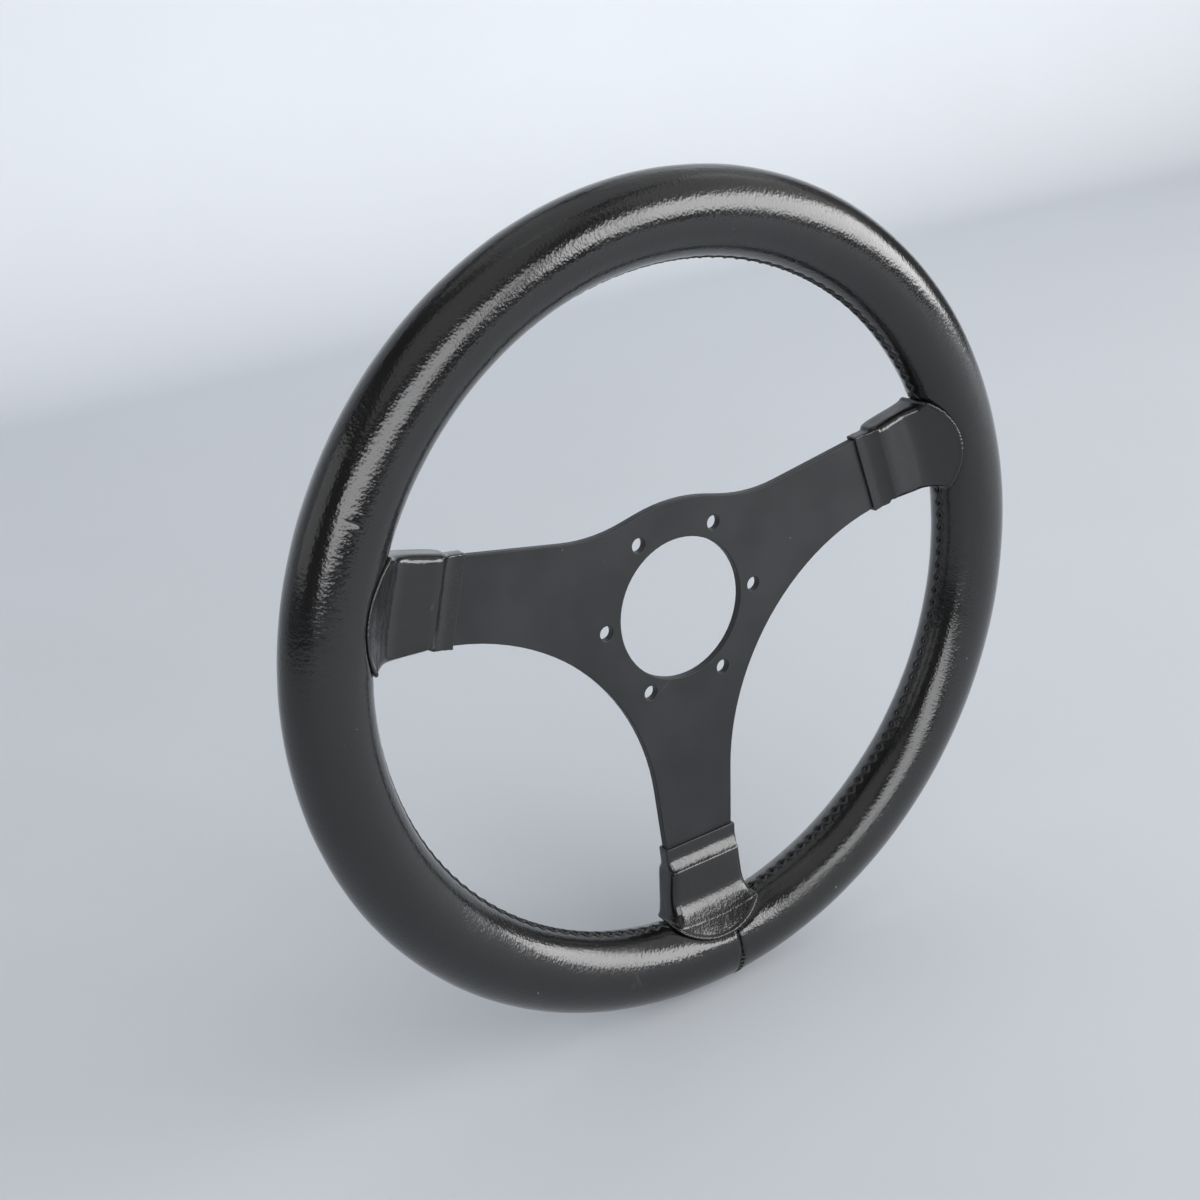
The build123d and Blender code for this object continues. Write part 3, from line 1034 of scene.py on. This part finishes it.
@dataclass
class Lacing:
    """Cross stitches that draw the two edges of the rim leather together along one stretch."""

    name: str
    start: float
    arc: float
    pitch: float = 6.0 * MM
    half_width: float = 2.7 * MM
    thick: float = 1.5 * MM
    steps: int = 13

    def stitch(self, middle: float, side: Side, over: bool) -> tuple[Array, Array]:
        """The line of one thread from a hole on one side to the next hole on the other side.

        Args:
            middle: The angle round the wheel at the thread's middle.
            side: The side where the thread starts.
            over: Whether it passes over the other thread of the cross.

        Returns:
            The thread's points and the directions away from the leather.
        """
        share = np.linspace(-1.0, 1.0, self.steps)
        swing = np.sign(share) * np.abs(share) ** 1.25
        around = middle + share * self.pitch * 0.56 / WHEEL.inner_radius
        across = swing * self.half_width * side.value
        section = math.pi - across / WHEEL.grip_half_depth
        rise = 0.12 * MM + (0.34 * MM if over else 0.0) * np.exp(-(share / 0.28) ** 2)
        lift = rise - 1.15 * MM * smooth_step(0.80, 1.0, np.abs(share))
        line = WHEEL.on_grip(around, section, lift)
        up = WHEEL.on_grip(around, section, lift + 1.0 * MM) - line
        return line, up / np.linalg.norm(up, axis=1, keepdims=True)

    def build(self) -> bpy.types.Object:
        """Builds all threads of the stretch."""
        maker = ThreadMaker(self.thick)
        length = math.radians(self.arc) * WHEEL.inner_radius
        count = round(length / self.pitch)
        step = math.radians(self.arc) / count
        for number in range(count):
            middle = math.radians(self.start) + (number + 0.5) * step
            for side in Side:
                line, up = self.stitch(middle, side, side is Side.FRONT)
                maker.lay(line, 0.5, up)
        return maker.piece(self.name)


@dataclass
class JointStitching:
    """Short stitches over the cut across the rim leather, on its outer side and its back."""

    first: float = -80.0
    last: float = 118.0
    count: int = 24
    length: float = 3.4 * MM
    thick: float = 0.62 * MM
    slant: float = 0.7 * MM
    steps: int = 9

    def build(self) -> bpy.types.Object:
        """Builds the stitches."""
        maker = ThreadMaker(self.thick, 6)
        for place in np.linspace(self.first, self.last, self.count):
            share = np.linspace(-1.0, 1.0, self.steps)
            radius = WHEEL.rim_radius + WHEEL.grip_half_width * math.cos(math.radians(place))
            around = math.radians(WHEEL.joint_angle) + share * self.length / 2 / radius
            section = math.radians(place) + share * self.slant / WHEEL.grip_half_depth
            lift = 0.16 * MM - 0.75 * MM * smooth_step(0.72, 1.0, np.abs(share))
            line = WHEEL.on_grip(around, section, lift)
            up = WHEEL.on_grip(around, section, lift + 1.0 * MM) - line
            maker.lay(line, 0.85, up / np.linalg.norm(up, axis=1, keepdims=True))
        return maker.piece("joint_threads")


@dataclass
class Core:
    """What the leather hides or leaves open: plate, hoop, rivets and foam, kept from the frame."""

    nodes: dict[str, bpy.types.Object]

    def dress(self) -> None:
        """Gives every kept node its material."""
        plate = SatinPlateFinish().material()
        hoop = SteelFinish("rolled_steel", (0.42, 0.42, 0.43)).material()
        rivet = SteelFinish("rivet_steel", (0.50, 0.50, 0.50), 0.36).material()
        foam = FoamFinish().material()
        chosen: list[tuple[Callable[[str], bool], bpy.types.Material]] = [
            (lambda name: name == "spoke_plate", plate),
            (lambda name: name == "rim_hoop", hoop),
            (lambda name: name.endswith("_rivet"), rivet),
            (lambda name: name.endswith("_pad") or name == "rim_padding", foam),
        ]
        for name, node in sorted(self.nodes.items()):
            for fits, material in chosen:
                if fits(name):
                    node.data.materials.clear()
                    node.data.materials.append(material)
                    LOG.info("%s: kept from the frame", name)


@dataclass(frozen=True)
class Softbox:
    """One flat lamp: where it is, what it looks at, its size, its power and its tint."""

    name: str
    place: tuple[float, float, float]
    size: tuple[float, float]
    power: float
    tint: tuple[float, float, float] = (1.0, 1.0, 1.0)
    target: tuple[float, float, float] = (0.0, 0.0, 0.0)

    def build(self) -> None:
        """Adds the lamp to the scene."""
        data = bpy.data.lights.new(self.name, "AREA")
        data.shape = "RECTANGLE"
        data.size = self.size[0]
        data.size_y = self.size[1]
        data.energy = self.power
        data.color = self.tint
        lamp = bpy.data.objects.new(self.name, data)
        lamp.location = self.place
        aim = Vector(self.target) - Vector(self.place)
        lamp.rotation_euler = aim.to_track_quat("-Z", "Y").to_euler()
        bpy.context.scene.collection.objects.link(lamp)


@dataclass
class Studio:
    """A pale floor that turns up into a backdrop, soft lamps and the camera."""

    floor_z: float = -175.5 * MM
    half_width: float = 4.0
    front: float = -1.2
    back: float = 1.35
    bend: float = 0.35
    height: float = 2.6
    camera_place: tuple[float, float, float] = (-335.41 * MM, -487.22 * MM, 238.84 * MM)
    camera_target: tuple[float, float, float] = (-38.78 * MM, 0.0, 21.58 * MM)
    camera_roll: float = -5.53
    lens: float = 46.77
    shift: tuple[float, float] = (0.0055, -0.0150)
    world_light: float = 0.13
    boxes: tuple[Softbox, ...] = (
        Softbox("window_right", (2.64, -2.21, 0.80), (3.64, 1.55), 121.0),
        Softbox("window_front", (-0.78, -3.34, 0.76), (3.80, 1.40), 72.0, (0.98, 0.99, 1.0)),
        Softbox("window_glow", (2.25, -1.15, 2.05), (2.8, 1.9), 10.0),
        Softbox("sky_above", (0.2, 0.1, 2.0), (1.8, 1.2), 3.6, (0.96, 0.98, 1.0)),
        Softbox("back_right", (1.2, 0.44, 1.53), (1.3, 1.1), 2.4, (0.96, 0.98, 1.0)),
        Softbox("front_sky", (-0.6, -1.6, 2.4), (3.0, 2.0), 9.0, (0.98, 0.99, 1.0)),
        Softbox("left_wash", (-2.0, 0.2, 0.9), (1.4, 1.2), 4.2, (0.98, 0.99, 1.0)),
    )

    def build_floor(self) -> None:
        """Builds the floor and the backdrop as one bent sheet."""
        turn = np.linspace(0.0, math.pi / 2, 13)
        profile = [(self.front, self.floor_z)]
        profile += [(self.back + self.bend * math.sin(t), self.floor_z + self.bend * (1 - math.cos(t)))
                    for t in turn]
        profile.append((self.back + self.bend, self.floor_z + self.height))
        widths = np.linspace(-self.half_width, self.half_width, 3)
        points = np.array([(x, y, z) for y, z in profile for x in widths])
        sheet = make_mesh("studio_floor", points, grid_faces(len(profile), len(widths)))
        sheet.data.materials.append(PaleFinish().material())

    def build_world(self) -> None:
        """Sets a weak even light from all round."""
        world = bpy.data.worlds.new("studio_world")
        bpy.context.scene.world = world
        world.use_nodes = True
        background = world.node_tree.nodes["Background"]
        background.inputs["Color"].default_value = (0.93, 0.96, 1.0, 1.0)
        background.inputs["Strength"].default_value = self.world_light

    def build_camera(self) -> None:
        """Puts the camera where the photograph was taken from."""
        data = bpy.data.cameras.new("camera")
        data.lens = self.lens
        data.sensor_width = 36.0
        data.shift_x = self.shift[0]
        data.shift_y = self.shift[1]
        data.clip_start = 0.01
        data.clip_end = 20.0
        camera = bpy.data.objects.new("camera", data)
        camera.location = self.camera_place
        aim = Vector(self.camera_target) - Vector(self.camera_place)
        level = aim.to_track_quat("-Z", "Y")
        rolled = Euler((0.0, 0.0, math.radians(self.camera_roll))).to_quaternion()
        camera.rotation_mode = "QUATERNION"
        camera.rotation_quaternion = level @ rolled
        bpy.context.scene.collection.objects.link(camera)
        bpy.context.scene.camera = camera

    def build(self) -> None:
        """Builds the whole studio."""
        self.build_floor()
        self.build_world()
        self.build_camera()
        for box in self.boxes:
            box.build()
        bpy.context.scene.view_settings.view_transform = "Standard"
        LOG.info("studio: %d lamps", len(self.boxes))


def lacing_stretches() -> list[Lacing]:
    """The three stretches of lacing, from one boot to the next."""
    ends: dict[str, tuple[float, float]] = {}
    for spoke in SPOKES:
        hub_along, hub_across = spoke.local(0.0, 0.0)
        shift = spoke.flap_middle * math.tan(math.radians(spoke.block_angle - spoke.facing))
        inner = WHEEL.inner_radius - spoke.flap_clear
        turns = []
        for side in (1, -1):
            across = shift + side * (spoke.flap_half + 0.9 * MM)
            along = spoke.circle_point(across, inner)[0]
            turns.append(spoke.facing + math.degrees(math.atan2(across - hub_across, along - hub_along)))
        ends[spoke.name] = (turns[0], turns[1])
    pairs = (("upper", "right", "left"), ("lower_left", "left", "bottom"),
             ("lower_right", "bottom", "right"))
    stretches = []
    for name, first, last in pairs:
        start = ends[first][0]
        arc = (ends[last][1] - start) % 360
        stretches.append(Lacing(f"{name}_lacing_threads", start, arc))
    return stretches


def main() -> None:
    """Builds the wheel's pieces in order and reports each one."""
    logging.basicConfig(level=logging.INFO, format="%(message)s")
    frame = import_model()
    nodes = frame["nodes"]

    rim_finish = LeatherFinish("rim_leather_finish", on_rim=True).material()
    rim = RimLeather().build()
    attach(rim, Slot.LEATHER, rim_finish, "rim_leather")

    boots = (
        SpokeBoot(SPOKES[0], grain_depth=0.02 * MM, collar_ripple=0.06 * MM,
                  scuffs=((4.6 * MM, 1.8 * MM, 0.5 * MM, 2.0 * MM),
                          (-3.5 * MM, 9.0 * MM, 0.35 * MM, 1.2 * MM))),
        SpokeBoot(SPOKES[1], grain_depth=0.05 * MM, collar_ripple=0.0),
        SpokeBoot(SPOKES[2], grain_depth=0.025 * MM, collar_ripple=0.0),
    )
    for boot in boots:
        finish = LeatherFinish(f"{boot.spoke.name}_boot_finish", turn=boot.spoke.facing,
                               crease_stretch=(0.35, 1.0, 1.0), pebble_depth=0.045 * MM,
                               crease_depth=0.10 * MM).material()
        piece = boot.build(nodes[f"{boot.spoke.name}_spoke_boot"])
        attach(piece, Slot.LEATHER, finish, f"{boot.spoke.name}_spoke_boot")

    thread = ThreadFinish().material()
    for stretch in lacing_stretches():
        attach(stretch.build(), Slot.THREAD, thread, stretch.name.replace("_threads", ""))
    attach(JointStitching().build(), Slot.THREAD, thread, "joint_stitching")

    Core(nodes).dress()
    Studio().build()


if __name__ == "__main__":
    main()
